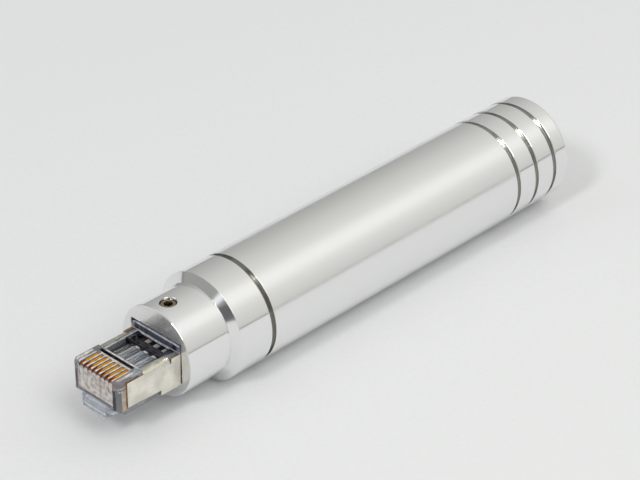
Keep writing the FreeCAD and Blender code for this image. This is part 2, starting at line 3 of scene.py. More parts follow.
import bmesh
import bpy
import numpy as np
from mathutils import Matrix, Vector


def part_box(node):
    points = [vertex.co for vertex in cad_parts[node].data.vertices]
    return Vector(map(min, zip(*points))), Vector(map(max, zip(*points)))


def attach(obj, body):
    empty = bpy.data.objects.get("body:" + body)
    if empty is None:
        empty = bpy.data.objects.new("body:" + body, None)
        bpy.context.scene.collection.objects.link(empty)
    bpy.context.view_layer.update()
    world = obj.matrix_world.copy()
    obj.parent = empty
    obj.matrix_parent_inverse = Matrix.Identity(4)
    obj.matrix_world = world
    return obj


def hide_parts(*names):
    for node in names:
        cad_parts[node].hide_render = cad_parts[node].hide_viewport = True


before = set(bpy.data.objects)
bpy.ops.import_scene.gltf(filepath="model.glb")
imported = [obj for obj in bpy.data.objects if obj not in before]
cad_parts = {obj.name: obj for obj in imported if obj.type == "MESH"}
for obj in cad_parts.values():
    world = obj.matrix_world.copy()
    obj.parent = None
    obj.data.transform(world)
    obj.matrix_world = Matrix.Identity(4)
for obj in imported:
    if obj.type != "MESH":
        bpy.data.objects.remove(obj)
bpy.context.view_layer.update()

# The camera, fitted to the photograph: a long lens that looks down from in front of the plug's
# near side, at a point just over the barrel's axis.
MM = 0.001
BAR_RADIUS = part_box("barrel")[1].z
CAMERA_AIM = Vector((3.883, 0, 0.422)) * BAR_RADIUS
CAMERA_TURN = -135.72
CAMERA_RISE = 32.22
CAMERA_REACH = 43.08 * BAR_RADIUS
CAMERA_LENS = 138.93


def way(turn, rise):
    """The unit vector at a turn round Z from X, and a rise above the table, both in degrees."""
    turn, rise = math.radians(turn), math.radians(rise)
    return Vector((math.cos(turn) * math.cos(rise), math.sin(turn) * math.cos(rise), math.sin(rise)))


def stand(name, data, turn, rise, reach):
    """Puts a camera or lamp out along a way from the aim, turned to look back at it."""
    thing = bpy.data.objects.new(name, data)
    bpy.context.collection.objects.link(thing)
    thing.location = CAMERA_AIM + reach * way(turn, rise)
    thing.rotation_euler = way(turn, rise).to_track_quat("Z", "Y").to_euler()
    return thing


lens = bpy.data.cameras.new("camera")
lens.lens = CAMERA_LENS
lens.clip_start = 0.01
bpy.context.scene.camera = stand("camera", lens, CAMERA_TURN, CAMERA_RISE, CAMERA_REACH)
bpy.context.scene.view_settings.view_transform = "Standard"

# The studio: a pale matt table that runs past the picture on every side, a low dark card that
# stands out of the picture, a soft surround with a small and a broad window, and two lamps. Each
# lamp's share is what it adds to the table's light, where the whole makes about 1.
TABLE_COLOURS = (0.715, 0.722, 0.735), (0.765, 0.77, 0.775)
TABLE_HALF = 1.5
TABLE_FALLOFF_SPAN = 0.1
TABLE_TOOTH = 0.9 * MM
CARD_COLOUR = 0.16
CARD_PLACE = -0.155
CARD_SIDES = -0.041, 0.013
CARD_TOP = 0.029
LAMP_REACH = 2.5
KEY_LAMP = {"turn": -168, "rise": 43, "width": 9, "share": 0.185}
FILL_LAMP = {"turn": -97, "rise": 51, "width": 30, "share": 0.245}
PATCH_WAY = way(-35, 45)
PATCH_TONES = {
    0: 1.04, 8: 1.0, 14: 0.9, 20: 0.82, 30: 0.75, 50: 0.645, 67: 0.535, 84: 0.45, 104: 0.39, 120: 0.37,
    180: 0.33}
HORIZON_TONE = 0.24
HORIZON_RISE = (0.0, 0.047)
WINDOW_WAY, WINDOW_SPREAD, WINDOW_TONE = way(172, 13.5), (3.0, 5.6), 1.1
BACK_WAY, BACK_SPREAD, BACK_TONE = way(138, 44), (12, 26), 0.95
WARMTH = (1.0, 1.003, 0.96)
COOLNESS = (0.97, 1.0, 1.03)


def new_material(name):
    """A material with nodes, its node tree, and its one shader."""
    material = bpy.data.materials.new(name)
    material.use_nodes = True
    return material, material.node_tree, material.node_tree.nodes["Principled BSDF"]


def set_sockets(shader, **values):
    """Plain values on a shader's own sockets, named with underscores for their spaces."""
    for name, value in values.items():
        shader.inputs[name.replace("_", " ")].default_value = value


def math_node(tree, operation, *values):
    """A maths node whose inputs are sockets or plain numbers."""
    node = tree.nodes.new("ShaderNodeMath")
    node.operation = operation
    for socket, value in zip(node.inputs, values):
        if isinstance(value, (int, float)):
            socket.default_value = value
        else:
            tree.links.new(value, socket)
    return node.outputs[0]


def mixed(tree, factor, low, high):
    """A colour that goes from one to another with a factor."""
    mix = tree.nodes.new("ShaderNodeMix")
    mix.data_type = "RGBA"
    tree.links.new(factor, mix.inputs["Factor"])
    for socket, colour in (("A", low), ("B", high)):
        if isinstance(colour, tuple):
            mix.inputs[socket].default_value = (*colour, 1)
        else:
            tree.links.new(colour, mix.inputs[socket])
    return mix.outputs["Result"]


def ranged(tree, value, low, high, start=0.0, end=1.0):
    """A number spread from one range to another, and held at the new one's ends."""
    spread = tree.nodes.new("ShaderNodeMapRange")
    for socket, number in (("From Min", start), ("From Max", end), ("To Min", low), ("To Max", high)):
        spread.inputs[socket].default_value = number
    tree.links.new(value, spread.inputs["Value"])
    return spread.outputs["Result"]


def parts_of(tree, given="Object"):
    """The X, Y and Z of a point on the piece, or of what else the surface gives."""
    parts = tree.nodes.new("ShaderNodeSeparateXYZ")
    tree.links.new(tree.nodes.new("ShaderNodeTexCoord").outputs[given], parts.inputs[0])
    return parts.outputs


def noise(tree, size, detail=3, stretch=None):
    """Cloudy noise over the piece, its lumps about a size in metres, drawn out where stretched."""
    cloud = tree.nodes.new("ShaderNodeTexNoise")
    cloud.inputs["Scale"].default_value = 1 / size
    cloud.inputs["Detail"].default_value = detail
    where = tree.nodes.new("ShaderNodeTexCoord").outputs["Object"]
    if stretch:
        drawn = tree.nodes.new("ShaderNodeMapping")
        drawn.inputs["Scale"].default_value = stretch
        tree.links.new(where, drawn.inputs["Vector"])
        where = drawn.outputs["Vector"]
    tree.links.new(where, cloud.inputs["Vector"])
    return cloud.outputs["Fac"]


def bumped(tree, shader, height, depth, strength=1.0):
    """Lets a height between 0 and 1 raise the surface by up to a depth in metres."""
    bump = tree.nodes.new("ShaderNodeBump")
    bump.inputs["Distance"].default_value = depth
    bump.inputs["Strength"].default_value = strength
    tree.links.new(height, bump.inputs["Height"])
    tree.links.new(bump.outputs["Normal"], shader.inputs["Normal"])


def staged(name, points, material):
    """One flat face of the studio."""
    mesh = bpy.data.meshes.new(name)
    mesh.from_pydata(points, [], [tuple(range(len(points)))])
    mesh.materials.append(material)
    piece = bpy.data.objects.new(name, mesh)
    bpy.context.collection.objects.link(piece)
    return piece


def lay_table():
    """A flat square under the barrel, painted a little brighter towards the near side as painted light, with
    a fine tooth.
    """
    material, tree, shader = new_material("pale_table")
    tooth = ranged(tree, noise(tree, TABLE_TOOTH, detail=5), -0.2, 0.2, 0.3, 0.7)
    painted_falloff = ranged(tree, parts_of(tree)["Y"], 1, 0, -TABLE_FALLOFF_SPAN, TABLE_FALLOFF_SPAN)
    shade = math_node(tree, "ADD", painted_falloff, tooth)
    tree.links.new(mixed(tree, shade, *TABLE_COLOURS), shader.inputs["Base Color"])
    set_sockets(shader, Roughness=0.85, Specular_IOR_Level=0.0)
    corners = [(-1, -1), (1, -1), (1, 1), (-1, 1)]
    staged("table", [(x * TABLE_HALF, y * TABLE_HALF, -BAR_RADIUS) for x, y in corners], material)


def stand_card():
    """A dark card beyond the nose. It shows only in gloss, as a shade between the highlights."""
    material, tree, shader = new_material("dark_card")
    set_sockets(shader, Base_Color=(CARD_COLOUR, CARD_COLOUR, CARD_COLOUR * 1.1, 1), Roughness=0.9)
    near, far = CARD_SIDES
    card = staged("card", [
        (CARD_PLACE, near, -BAR_RADIUS), (CARD_PLACE, far, -BAR_RADIUS),
        (CARD_PLACE, far, CARD_TOP), (CARD_PLACE, near, CARD_TOP)], material)
    card.visible_camera = card.visible_diffuse = card.visible_shadow = False


def hang_lamp(name, turn, rise, width, share):
    """A square area lamp, so wide in degrees as the object sees it.

    Its watts come from its share: an area lamp of P watts at reach d gives a white table
    P sin(rise) / (pi d) squared of the plain level.
    """
    light = bpy.data.lights.new(name, "AREA")
    light.size = 2 * LAMP_REACH * math.tan(math.radians(width) / 2)
    light.energy = share * (math.pi * LAMP_REACH) ** 2 / math.sin(math.radians(rise))
    stand(name, light, turn, rise, LAMP_REACH)


def surround():
    """The world: tones by the angle from a bright patch, a dark horizon, and two cool windows."""
    world = bpy.data.worlds.new("surround")
    bpy.context.scene.world = world
    world.use_nodes = True
    nodes, links = world.node_tree.nodes, world.node_tree.links
    here = nodes.new("ShaderNodeTexCoord").outputs["Generated"]

    def angle_from(direction):
        """Degrees between the looked-at direction and a fixed one."""
        dot = nodes.new("ShaderNodeVectorMath")
        dot.operation = "DOT_PRODUCT"
        dot.inputs[1].default_value = direction
        links.new(here, dot.inputs[0])
        angle = nodes.new("ShaderNodeMath")
        angle.operation = "ARCCOSINE"
        links.new(dot.outputs["Value"], angle.inputs[0])
        return angle.outputs[0]

    def faded(value, low, high):
        """1 below low and 0 above high, smooth between them."""
        fade = nodes.new("ShaderNodeMapRange")
        fade.interpolation_type = "SMOOTHSTEP"
        fade.inputs["From Min"].default_value = low
        fade.inputs["From Max"].default_value = high
        fade.inputs["To Min"].default_value = 1
        fade.inputs["To Max"].default_value = 0
        links.new(value, fade.inputs["Value"])
        return fade.outputs["Result"]

    def toned(tone, tint):
        """A grey of a given tone, with a tint."""
        return tuple(tone * part for part in tint)

    ramp = nodes.new("ShaderNodeValToRGB")
    ramp.color_ramp.elements.remove(ramp.color_ramp.elements[1])
    for degrees, tone in PATCH_TONES.items():
        stop = ramp.color_ramp.elements.new(degrees / 180) if degrees else ramp.color_ramp.elements[0]
        stop.position = degrees / 180
        stop.color = (*toned(tone, WARMTH), 1)
    links.new(math_node(world.node_tree, "DIVIDE", angle_from(PATCH_WAY), math.pi), ramp.inputs["Fac"])
    horizon = faded(parts_of(world.node_tree, "Generated")["Z"], *HORIZON_RISE)
    picture = mixed(world.node_tree, horizon, ramp.outputs["Color"], toned(HORIZON_TONE, WARMTH))
    windows = (WINDOW_WAY, WINDOW_SPREAD, WINDOW_TONE), (BACK_WAY, BACK_SPREAD, BACK_TONE)
    for direction, spread, tone in windows:
        window = faded(angle_from(direction), *map(math.radians, spread))
        picture = mixed(world.node_tree, window, picture, toned(tone, COOLNESS))
    links.new(picture, nodes["Background"].inputs["Color"])


lay_table()
stand_card()
hang_lamp("key_lamp", **KEY_LAMP)
hang_lamp("fill_lamp", **FILL_LAMP)
surround()

# The nose collar: turned from aluminium bar in one piece, with a neck, a sloping shoulder, a
# full-width land, and behind it the joint groove and the spigot that the barrel screws on to.
# The plug's seat is milled into its flat front face, and the screw's hole is countersunk.
NECK_RADIUS = 8.33 * MM
NECK_LENGTH = 9.27 * MM
SHOULDER_LENGTH = 0.95 * MM
GROOVE_WIDTH = 0.9 * MM
GROOVE_DEPTH = 0.6 * MM
SPIGOT_RADIUS = 7.95 * MM
BORE_RADIUS = 5.4 * MM
EDGE_EASE = 0.16 * MM
CORNER_EASE = 0.05 * MM
SEAT_CLEARANCE = 0.15 * MM
SEAT_HEADROOM = 0.3 * MM
SEAT_BREAK = 0.12 * MM
COUNTERSINK = 0.15 * MM
THREAD_CLEARANCE = 0.05 * MM
ROOT_LIP = 0.5 * MM
SURFACE = MM / 100
SEAMS = 288
SHARP_TURN = 35
ALUMINIUM_COLOUR = (0.848, 0.848, 0.85)
# Painted shade for the insides of the nose's and barrel's grooves.
GROOVE_SHADE_COLOUR = (0.22, 0.21, 0.18)
FACING_PITCH = 0.04 * MM
FACING_DULLING = 0.02, 0.55
BARREL_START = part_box("barrel")[0].x
BARREL_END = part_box("barrel")[1].x
NOSE_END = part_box("nose_collar")[1].x
PLUG_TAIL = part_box("plug_housing")[1].x
PLUG_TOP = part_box("plug_housing")[1].z
SHIELD_LOW, SHIELD_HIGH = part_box("plug_shield")
PLUG_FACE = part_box("plug_housing")[0].x + ROOT_LIP
SCREW_LOW, SCREW_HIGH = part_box("set_screw")
SCREW_PLACE = (SCREW_LOW.x + SCREW_HIGH.x) / 2
SCREW_RADIUS = SCREW_HIGH.y + THREAD_CLEARANCE


def eased(corners, steps=4):
    """A section with rounded corners, as an array of (place along the axis, radius).

    Each corner comes with its rounding radius. The arc is the corner's centre plus that radius
    times the normal, which turns in even steps from the side that comes in to the side that
    goes out. A point is kept on each side, a little before and after the arc, so that the flats
    stay flat in the shading.
    """
    places = np.array([corner[:2] for corner in corners], float)
    line = []
    for i, (_, _, radius) in enumerate(corners):
        if radius == 0:
            line.append(places[i][None])
            continue
        before = places[i] - places[i - 1]
        after = places[(i + 1) % len(places)] - places[i]
        before, after = before / np.linalg.norm(before), after / np.linalg.norm(after)
        turn = math.acos(np.clip(before @ after, -1, 1))
        side = np.sign(before[0] * after[1] - before[1] * after[0])
        tangent = radius * math.tan(turn / 2)
        normal = side * np.array([before[1], -before[0]])
        centre = places[i] - before * tangent - normal * radius
        angles = np.linspace(0, turn, steps + 1) * side
        normals = np.stack([
            normal[0] * np.cos(angles) - normal[1] * np.sin(angles),
            normal[0] * np.sin(angles) + normal[1] * np.cos(angles)], 1)
        margin = tangent * 0.6
        line += [
            (places[i] - before * (tangent + margin))[None], centre + radius * normals,
            (places[i] + after * (tangent + margin))[None]]
    return np.concatenate(line)


def turned(section, seams=SEAMS):
    """Points of a section turned about X: (x, r) goes to (x, -r sin a, r cos a) for even turns a."""
    turns = np.linspace(0, 2 * math.pi, seams, endpoint=False)
    along = np.repeat(section[:, :1], seams, 1)
    return np.stack([along, -section[:, 1:] * np.sin(turns), section[:, 1:] * np.cos(turns)], 2)


def between_rows(upper, lower):
    """Faces that join each point of a row to the next point round it and to the next row."""
    return np.stack([upper, np.roll(upper, -1, 1), np.roll(lower, -1, 1), lower], 2).reshape(-1, 4).tolist()


def skinned(name, points, closed):
    """A mesh over a grid of points that wraps round its second way, and its first where closed.

    Points that meet, as at a pole, are merged, and the faces are turned outwards.
    """
    rows, columns = points.shape[:2]
    index = np.arange(rows * columns).reshape(rows, columns)
    upper = index if closed else index[:-1]
    lower = np.roll(index, -1, 0) if closed else index[1:]
    mesh = bpy.data.meshes.new(name)
    mesh.from_pydata(points.reshape(-1, 3).tolist(), [], between_rows(upper, lower))
    tidied(mesh)
    return mesh


def capped(name, rings):
    """A closed solid through rings of points, with a flat face across each end."""
    count, around = rings.shape[:2]
    index = np.arange(count * around).reshape(count, around)
    ends = [index[0].tolist(), index[-1].tolist()]
    mesh = bpy.data.meshes.new(name)
    mesh.from_pydata(rings.reshape(-1, 3).tolist(), [], between_rows(index[:-1], index[1:]) + ends)
    tidied(mesh)
    return mesh


def tidied(mesh, near=1e-7):
    """Merges the points that meet, drops empty faces, and turns the faces outwards."""
    work = bmesh.new()
    work.from_mesh(mesh)
    bmesh.ops.remove_doubles(work, verts=work.verts, dist=near)
    bmesh.ops.dissolve_degenerate(work, edges=work.edges, dist=near)
    bmesh.ops.recalc_face_normals(work, faces=work.faces)
    work.to_mesh(mesh)
    work.free()


def smoothed(mesh, sharp_turn=SHARP_TURN):
    """Smooth shading, with a crease wherever two faces turn by more than an angle in degrees."""
    mesh.polygons.foreach_set("use_smooth", np.ones(len(mesh.polygons), bool))
    mesh.set_sharp_from_angle(angle=math.radians(sharp_turn))


def carved(mesh, *cutters):
    """The mesh less what the cutters' meshes hold."""
    block = bpy.data.objects.new("block", mesh)
    bpy.context.collection.objects.link(block)
    tools = []
    for cutter in cutters:
        tool = bpy.data.objects.new("tool", cutter)
        bpy.context.collection.objects.link(tool)
        tools.append(tool)
        cut = block.modifiers.new("cut", "BOOLEAN")
        cut.operation = "DIFFERENCE"
        cut.solver = "EXACT"
        cut.object = tool
    graph = bpy.context.evaluated_depsgraph_get()
    result = bpy.data.meshes.new_from_object(block.evaluated_get(graph))
    for thing in [block, *tools]:
        bpy.data.objects.remove(thing)
    tidied(result)
    return result


def points_of(mesh):
    """The mesh's points as an array."""
    points = np.empty(len(mesh.vertices) * 3)
    mesh.vertices.foreach_get("co", points)
    return points.reshape(-1, 3)


def mark(mesh, name, values, domain="POINT"):
    """Stores one number for each point or face, for the material to read."""
    mesh.attributes.new(name, "FLOAT", domain).data.foreach_set("value", np.asarray(values, np.float32))


def mark_grooves(mesh, *starts):
    """Marks how far down each groove a point lies: 0 at the rim and 1 on the floor."""
    x, y, z = points_of(mesh).T
    depth = np.clip((BAR_RADIUS - np.hypot(y, z)) / GROOVE_DEPTH, 0, 1)
    inside = [(x > start - SURFACE) & (x < start + GROOVE_WIDTH + SURFACE) for start in starts]
    mark(mesh, "groove", depth * np.any(inside, axis=0))


def fit(name, mesh, body, slot, material, *nodes):
    """Puts a finished mesh in the scene, riding on its body and standing for its CAD nodes."""
    mesh.name = name
    mesh.materials.clear()
    mesh.materials.append(material)
    piece = bpy.data.objects.new(name, mesh)
    bpy.context.collection.objects.link(piece)
    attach(piece, body)
    if nodes:
        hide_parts(*nodes)
    return piece


def new_group(name, inputs, outputs):
    """An empty shader node group with named number inputs and named outputs."""
    group = bpy.data.node_groups.new(name, "ShaderNodeTree")
    for label, value in inputs.items():
        socket = group.interface.new_socket(name=label, in_out="INPUT", socket_type="NodeSocketFloat")
        socket.default_value = value
    for label, kind in outputs.items():
        group.interface.new_socket(name=label, in_out="OUTPUT", socket_type=kind)
    return group, group.nodes.new("NodeGroupInput").outputs, group.nodes.new("NodeGroupOutput").inputs


def hypotenuse(tree, across, up):
    """The distance that two coordinates make together, such as how far a point is from an axis."""
    squares = [math_node(tree, "POWER", side, 2) for side in (across, up)]
    return math_node(tree, "SQRT", math_node(tree, "ADD", *squares))


def lathe_marks():
    """The tool's marks: rings that follow how far a point is along the axis and out from it.

    One number, place along the axis plus distance from it, grows along every turned face, so
    noise on it gives rings on cylinders, cones and end faces alike. A slow noise over the whole
    piece makes the finish patchy, as handling does.
    """
    group, given, made = new_group(
        "lathe_marks", {"Pitch": 0.00016, "Patch Size": 0.006},
        {"Height": "NodeSocketFloat", "Patches": "NodeSocketFloat"})
    nodes, links = group.nodes, group.links
    parts = parts_of(group)
    travel = math_node(group, "ADD", parts["X"], hypotenuse(group, parts["Y"], parts["Z"]))
    rings = nodes.new("ShaderNodeTexNoise")
    rings.noise_dimensions = "1D"
    rings.inputs["Scale"].default_value = 1
    rings.inputs["Detail"].default_value = 3
    links.new(math_node(group, "DIVIDE", travel, given["Pitch"]), rings.inputs["W"])
    links.new(rings.outputs["Fac"], made["Height"])
    patches = nodes.new("ShaderNodeTexNoise")
    patches.inputs["Detail"].default_value = 4
    links.new(nodes.new("ShaderNodeTexCoord").outputs["Object"], patches.inputs["Vector"])
    links.new(math_node(group, "DIVIDE", 1, given["Patch Size"]), patches.inputs["Scale"])
    links.new(patches.outputs["Fac"], made["Patches"])
    return group


LATHE_MARKS = lathe_marks()


def placed(tree, group, **values):
    """A node group put in a material with its own values."""
    node = tree.nodes.new("ShaderNodeGroup")
    node.node_tree = group
    for name, value in values.items():
        node.inputs[name.replace("_", " ")].default_value = value
    return node.outputs


def shaded(colour, share):
    """A colour with its brightness times a share."""
    return tuple(part * share for part in colour)


def read(tree, name):
    """A number that the mesh carries under a name."""
    node = tree.nodes.new("ShaderNodeAttribute")
    node.attribute_name = name
    return node.outputs["Fac"]


def turned_aluminium(name, roughness, mark_depth, groove_shade=GROOVE_SHADE_COLOUR, groove_dulling=0.06):
    """Bare turned aluminium: lathe rings, a patchy satin, and painted shade, dull and dark, in the grooves.

    A faced end has finer rings, bright and dull by turns, which haze what it mirrors.
    """
    material, tree, shader = new_material(name)
    marks = placed(tree, LATHE_MARKS)
    sunk = read(tree, "groove")
    set_sockets(shader, Metallic=1.0)
    clean = mixed(tree, marks["Patches"], shaded(ALUMINIUM_COLOUR, 0.985), ALUMINIUM_COLOUR)
    # Painted shade: the grooves are darkened by how far down them a point lies.
    tree.links.new(mixed(tree, sunk, clean, groove_shade), shader.inputs["Base Color"])
    satin = ranged(tree, marks["Patches"], roughness * 0.8, roughness * 1.25, 0.3, 0.7)
    rings = placed(tree, LATHE_MARKS, Pitch=FACING_PITCH)["Height"]
    faced = math_node(tree, "MULTIPLY", read(tree, "faced"), ranged(tree, rings, *FACING_DULLING, 0.44, 0.56))
    dulled = math_node(tree, "ADD", ranged(tree, sunk, 0, groove_dulling), faced)
    tree.links.new(math_node(tree, "ADD", satin, dulled), shader.inputs["Roughness"])
    bumped(tree, shader, marks["Height"], mark_depth)
    return material


NOSE_ALUMINIUM = turned_aluminium("nose_aluminium", roughness=0.1, mark_depth=0.0006 * MM)


def seat_cutter():
    """The milled seat: a rectangle drawn along X, a little wider at its mouth for the broken edge."""
    half = SHIELD_HIGH.y + SEAT_CLEARANCE
    places = np.array([-SEAT_BREAK, 0, SEAT_BREAK, PLUG_TAIL])
    flare = np.array([2 * SEAT_BREAK, SEAT_BREAK, 0, 0])
    sides = np.array([(-1, 0), (1, 0), (1, 1), (-1, 1)])
    across = sides[:, 0] * (half + flare[:, None])
    top = PLUG_TOP + SEAT_HEADROOM + flare[:, None]
    up = np.where(sides[:, 1] > 0, top, SHIELD_LOW.z - flare[:, None])
    along = np.repeat(places[:, None], 4, 1)
    return capped("seat", np.stack([along, across, up], 2))


def nose_collar():
    """The section, read from the front along the outside and back through the bore."""
    shoulder = NECK_LENGTH + SHOULDER_LENGTH
    groove = BARREL_START - GROOVE_WIDTH
    floor = BAR_RADIUS - GROOVE_DEPTH
    section = eased([
        (0, 0, 0), (0, NECK_RADIUS, EDGE_EASE), (NECK_LENGTH, NECK_RADIUS, CORNER_EASE),
        (shoulder, BAR_RADIUS, CORNER_EASE), (groove, BAR_RADIUS, EDGE_EASE),
        (groove, floor, CORNER_EASE), (BARREL_START, floor, CORNER_EASE),
        (BARREL_START, SPIGOT_RADIUS, 0), (NOSE_END, SPIGOT_RADIUS, EDGE_EASE),
        (NOSE_END, BORE_RADIUS, EDGE_EASE), (PLUG_TAIL, BORE_RADIUS, 0), (PLUG_TAIL, 0, 0)])
    hole = turned(np.array([
        (PLUG_TOP / 2, 0), (PLUG_TOP / 2, SCREW_RADIUS), (NECK_RADIUS - COUNTERSINK, SCREW_RADIUS),
        (NECK_RADIUS + COUNTERSINK, SCREW_RADIUS + 2 * COUNTERSINK), (NECK_RADIUS + COUNTERSINK, 0)]), 64)
    hole = hole[..., [2, 1, 0]] + np.array([SCREW_PLACE, 0, 0])
    mesh = carved(skinned("nose", turned(section), False), seat_cutter(), skinned("hole", hole, False))
    mark_grooves(mesh, groove)
    mark(mesh, "faced", points_of(mesh)[:, 0] < SURFACE)
    smoothed(mesh)
    fit("nose_collar_turned", mesh, "filter", "turned_aluminium", NOSE_ALUMINIUM, "nose_collar")


nose_collar()

# The barrel: a length of the same bar, bored through, with its ends just eased. It is finished
# more softly than the nose, so its long highlight is broad.
BARREL_BORE = 8.0 * MM
BARREL_ALUMINIUM = turned_aluminium("barrel_aluminium", roughness=0.185, mark_depth=0.001 * MM)


def barrel():
    """The tube's section is a closed ring: out along the outside and back through the bore."""
    section = eased([
        (BARREL_START, BARREL_BORE, CORNER_EASE), (BARREL_START, BAR_RADIUS, CORNER_EASE),
        (BARREL_END, BAR_RADIUS, EDGE_EASE), (BARREL_END, BARREL_BORE, CORNER_EASE)])
    mesh = skinned("barrel", turned(section), True)
    smoothed(mesh)
    fit("barrel_turned", mesh, "filter", "turned_aluminium", BARREL_ALUMINIUM, "barrel")


barrel()

# The end cap: turned from the same bar, with its spigot screwed into the barrel. Three grooves,
# the first of them at the joint, leave three bright rings, and the rear face is plain.
RING_PITCH = 5.04 * MM
RINGS = 3
REAR_EASE = 0.4 * MM
# A lighter painted shade for the end cap's grooves.
RING_GROOVE_SHADE_COLOUR = (0.46, 0.455, 0.425)
CAP_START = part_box("end_cap")[0].x
CAP_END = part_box("end_cap")[1].x
CAP_ALUMINIUM = turned_aluminium(
    "cap_aluminium", roughness=0.1, mark_depth=0.0006 * MM, groove_shade=RING_GROOVE_SHADE_COLOUR, groove_dulling=0.14)


def end_cap():
    """The section, read along the outside to the axis at the rear face."""
    floor = BAR_RADIUS - GROOVE_DEPTH
    corners = [(CAP_START, 0, 0), (CAP_START, SPIGOT_RADIUS, EDGE_EASE), (BARREL_END, SPIGOT_RADIUS, 0)]
    starts = [BARREL_END + ring * RING_PITCH for ring in range(RINGS)]
    for start, following in zip(starts, [*starts[1:], None]):
        ring_start = start + GROOVE_WIDTH
        corners += [
            (start, floor, CORNER_EASE), (ring_start, floor, CORNER_EASE),
            (ring_start, BAR_RADIUS, EDGE_EASE)]
        if following:
            corners.append((following, BAR_RADIUS, EDGE_EASE))
    corners += [(CAP_END, BAR_RADIUS, REAR_EASE), (CAP_END, 0, 0)]
    mesh = skinned("cap", turned(eased(corners)), False)
    mark_grooves(mesh, *starts)
    smoothed(mesh)
    fit("end_cap_turned", mesh, "filter", "turned_aluminium", CAP_ALUMINIUM, "end_cap")


end_cap()

# The set screw: a short headless steel screw in the top of the neck that presses the plug down
# into its seat. Its hexagon socket is painted near black inside as painted shade.
SCREW_COLOUR = (0.34, 0.28, 0.22)
SOCKET_SHADE_COLOUR = (0.035, 0.018, 0.010)
SCREW_EASE = 0.05 * MM
SOCKET_REACH = 0.9 * MM
SOCKET_MARGIN = 0.1 * MM
FLAT_TURN = 1


def refined(node, ease, steps=2, lowest=-BAR_RADIUS):
    """A copy of a CAD node's mesh, with its triangles joined to whole faces.

    The edges that lie above a height are eased.
    """
    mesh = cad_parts[node].data.copy()
    work = bmesh.new()
    work.from_mesh(mesh)
    bmesh.ops.remove_doubles(work, verts=work.verts, dist=MM / 1000)
    bmesh.ops.dissolve_limit(work, angle_limit=math.radians(FLAT_TURN), verts=work.verts, edges=work.edges)
    edges = [
        edge for edge in work.edges
        if edge.is_manifold and edge.calc_face_angle(0) > math.radians(SHARP_TURN)
        and min(corner.co.z for corner in edge.verts) > lowest]
    bmesh.ops.bevel(
        work, geom=edges, offset=ease, segments=steps, profile=0.5, affect="EDGES", clamp_overlap=True)
    work.to_mesh(mesh)
    work.free()
    return mesh


def set_screw():
    """The socket's walls and floor are marked, because they lie nearer the axis than its corners."""
    mesh = refined("set_screw", SCREW_EASE)
    x, y, z = points_of(mesh).T
    reach = np.hypot(x - SCREW_PLACE, y)
    inside = (reach < SOCKET_REACH) & (z > SCREW_LOW.z + SOCKET_MARGIN) & (z < SCREW_HIGH.z - SOCKET_MARGIN)
    mark(mesh, "socket", inside)
    smoothed(mesh)
    material, tree, shader = new_material("screw_steel")
    set_sockets(shader, Metallic=1.0)
    marks = placed(tree, LATHE_MARKS, Pitch=0.0001, Patch_Size=0.0008)
    bright = mixed(tree, marks["Patches"], shaded(SCREW_COLOUR, 0.8), SCREW_COLOUR)
    # The socket's walls and floor carry painted shade.
    tree.links.new(mixed(tree, read(tree, "socket"), bright, SOCKET_SHADE_COLOUR), shader.inputs["Base Color"])
    tree.links.new(ranged(tree, marks["Patches"], 0.16, 0.32, 0.3, 0.7), shader.inputs["Roughness"])
    fit("set_screw_steel", mesh, "filter", "screw_steel", material, "set_screw")


set_screw()

# The plug's housing: clear polycarbonate moulded in one, with a comb of contact slots, a cross
# trench, a sunk window and the latch's root. It is milky where pressed and amber in a low band at
# the front of its sides. Its trench, cavity, rim and posts carry painted shade, and some edges carry
# painted highlights. Thin webs close the slots in front, and the latch tongue is a piece of its own
# because it bends.
CLEAR_COLOUR = (0.90, 0.935, 1.0)
CLEAR_SHARE = 0.85
WINDOW_SHARE = 0.97
CLEAR_BEND = 1.4
# Painted shade: dark colours for the trench, the front posts and the cavity behind the window.
TRENCH_SHADE_COLOUR = (0.03, 0.035, 0.05)
POST_SHADE_COLOUR = (0.05, 0.055, 0.10)
CAVITY_SHADE_COLOUR = (0.09, 0.095, 0.12)
PRESSED_COLOUR = (0.82, 0.79, 0.775)
# The comb's milky white is tinted warm as a painted glow from the gold contacts.
COMB_COLOUR = (0.86, 0.82, 0.80)
BLADE_SHADE = (0.30, 0.085, 0.012)
# Painted highlight: pale blue lines along some edges.
EDGE_HIGHLIGHT_COLOUR = (0.70, 0.76, 0.93)
# Painted shade for the rim's front face.
RIM_SHADE_COLOUR = (0.11, 0.12, 0.15)
AMBER_COLOUR = (0.68, 0.56, 0.44)
MILKY_SHARE = 0.75
HAZE_TINT = (0.54, 0.46, 0.42)
HOUSING_EASE = 0.05 * MM
EDGE_HIGHLIGHT_WIDTH = 0.22 * MM
SHADE_WIDTH = 0.2 * MM
SIDE_DEPTH = 0.5 * MM
SKIN = 0.1 * MM
FLANK = 0.9
BLOCK_TOP = 2.75 * MM
FLANGE_SEAT = 2.2 * MM
COMB_SIDE = 4.2 * MM
PRESSED_LOW = -2.2 * MM
TRENCH_PLACES = PLUG_FACE + 4.5 * MM, PLUG_FACE + 5.2 * MM
TRENCH_FLOOR = BLOCK_TOP - 1.4 * MM
WINDOW_SIDE = 4.3 * MM
WINDOW_FRONT = -7.3 * MM
WINDOW_REAR = -2.9 * MM
RIM_FRONT = -0.1 * MM
AMBER_BAND = -12.7 * MM, -11.8 * MM
AMBER_RISE = -3.2 * MM, 1.0 * MM
NEAR_BAND = -5.5 * MM, -4.2 * MM
FAR_LINE = 4.5 * MM, 4.75 * MM
STREAK = 4.6 * MM, 5.05 * MM
CONTACTS = 8
BLADES = [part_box(f"contact_{place}") for place in range(1, CONTACTS + 1)]
WEB_TOP = 2.0 * MM
CAVITY_SIDE = 5 * MM
OUTER_SIDE = 5.4 * MM
UNDERSIDE = -3.5 * MM


